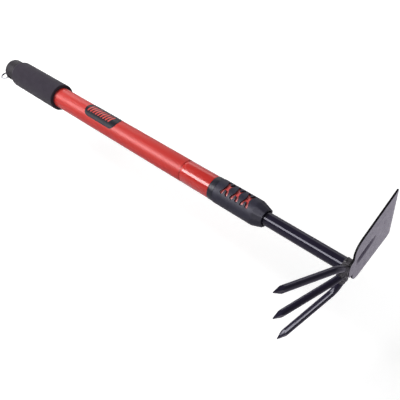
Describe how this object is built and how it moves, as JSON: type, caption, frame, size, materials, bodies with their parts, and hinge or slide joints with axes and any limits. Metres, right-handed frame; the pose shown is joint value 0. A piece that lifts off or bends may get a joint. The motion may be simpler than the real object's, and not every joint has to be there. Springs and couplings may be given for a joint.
{
  "type": "telescopic fork hoe",
  "caption": "Hand tool with a hoe blade opposite pointed tines, on a thin tube that slides out of a red handle tube through a twist lock; foam grip and hanging ring.",
  "frame": {"origin": "centre of the flat end of the butt cap, on the handle's axis", "axes": "+X along the handle from the butt to the head; +Y from the handle towards the blade's cutting edge, so the tines point to -Y; +Z across the head's width, up as the tool lies in the picture"},
  "size_m": [0.6335, 0.1817, 0.1026],
  "materials": {
    "red_paint": "glossy red enamel on steel",
    "dark_paint": "glossy near-black enamel on steel",
    "blade_paint": "satin violet-grey lacquer on sheet steel",
    "black_plastic": "satin moulding",
    "black_rubber": "soft satin",
    "foam": "matte closed-cell foam",
    "red_plastic": "satin moulding",
    "white_plastic": "natural nylon",
    "label_film": "printed film",
    "bright_steel": "bright zinc plating",
    "weld_metal": "lacquered weld and steel"
  },
  "bodies": {
    "handle": {"outer_tube": "red_paint", "end_cap": "black_plastic", "foam_grip": "foam", "label": "label_film", "lock_body": "black_plastic"},
    "hanger": {"hang_ring": "bright_steel"},
    "clamp": {"clamp_ring": "white_plastic"},
    "nut": {"lock_nut": "red_plastic", "nut_grip": "black_rubber"},
    "slider": {"guide_bush": "white_plastic"},
    "head": {"inner_tube": "dark_paint", "stop_pin": "bright_steel", "end_plug": "black_plastic", "neck_plug": "weld_metal", "hoe_blade": "blade_paint", "tine_left": "dark_paint", "tine_centre": "dark_paint", "tine_right": "dark_paint", "neck_weld": "weld_metal", "tine_weld": "weld_metal"}
  },
  "joints": [
    {"name": "ring_swing", "type": "hinge", "parent": "handle", "child": "hanger", "pos_m": [0.00475, -0.013, 0], "axis": [0.805, -0.5932, 0], "range_deg": [-55, 55]},
    {"name": "clamp_travel", "type": "slide", "parent": "handle", "child": "clamp", "axis": [1, 0, 0], "range_m": [0, 0.0016]},
    {"name": "lock_turn", "type": "hinge", "parent": "clamp", "child": "nut", "pos_m": [0.4457, 0, 0], "axis": [1, 0, 0], "range_deg": [0, 180]},
    {"name": "telescope", "type": "slide", "parent": "handle", "child": "slider", "axis": [1, 0, 0], "range_m": [0, 0.3]},
    {"name": "head_swivel", "type": "hinge", "parent": "slider", "child": "head", "pos_m": [0.4, 0, 0], "axis": [1, 0, 0], "continuous": true}
  ],
  "couplings": [
    {"joint": "clamp_travel", "follows": "lock_turn", "m_per_rad": 0.00047746}
  ]
}
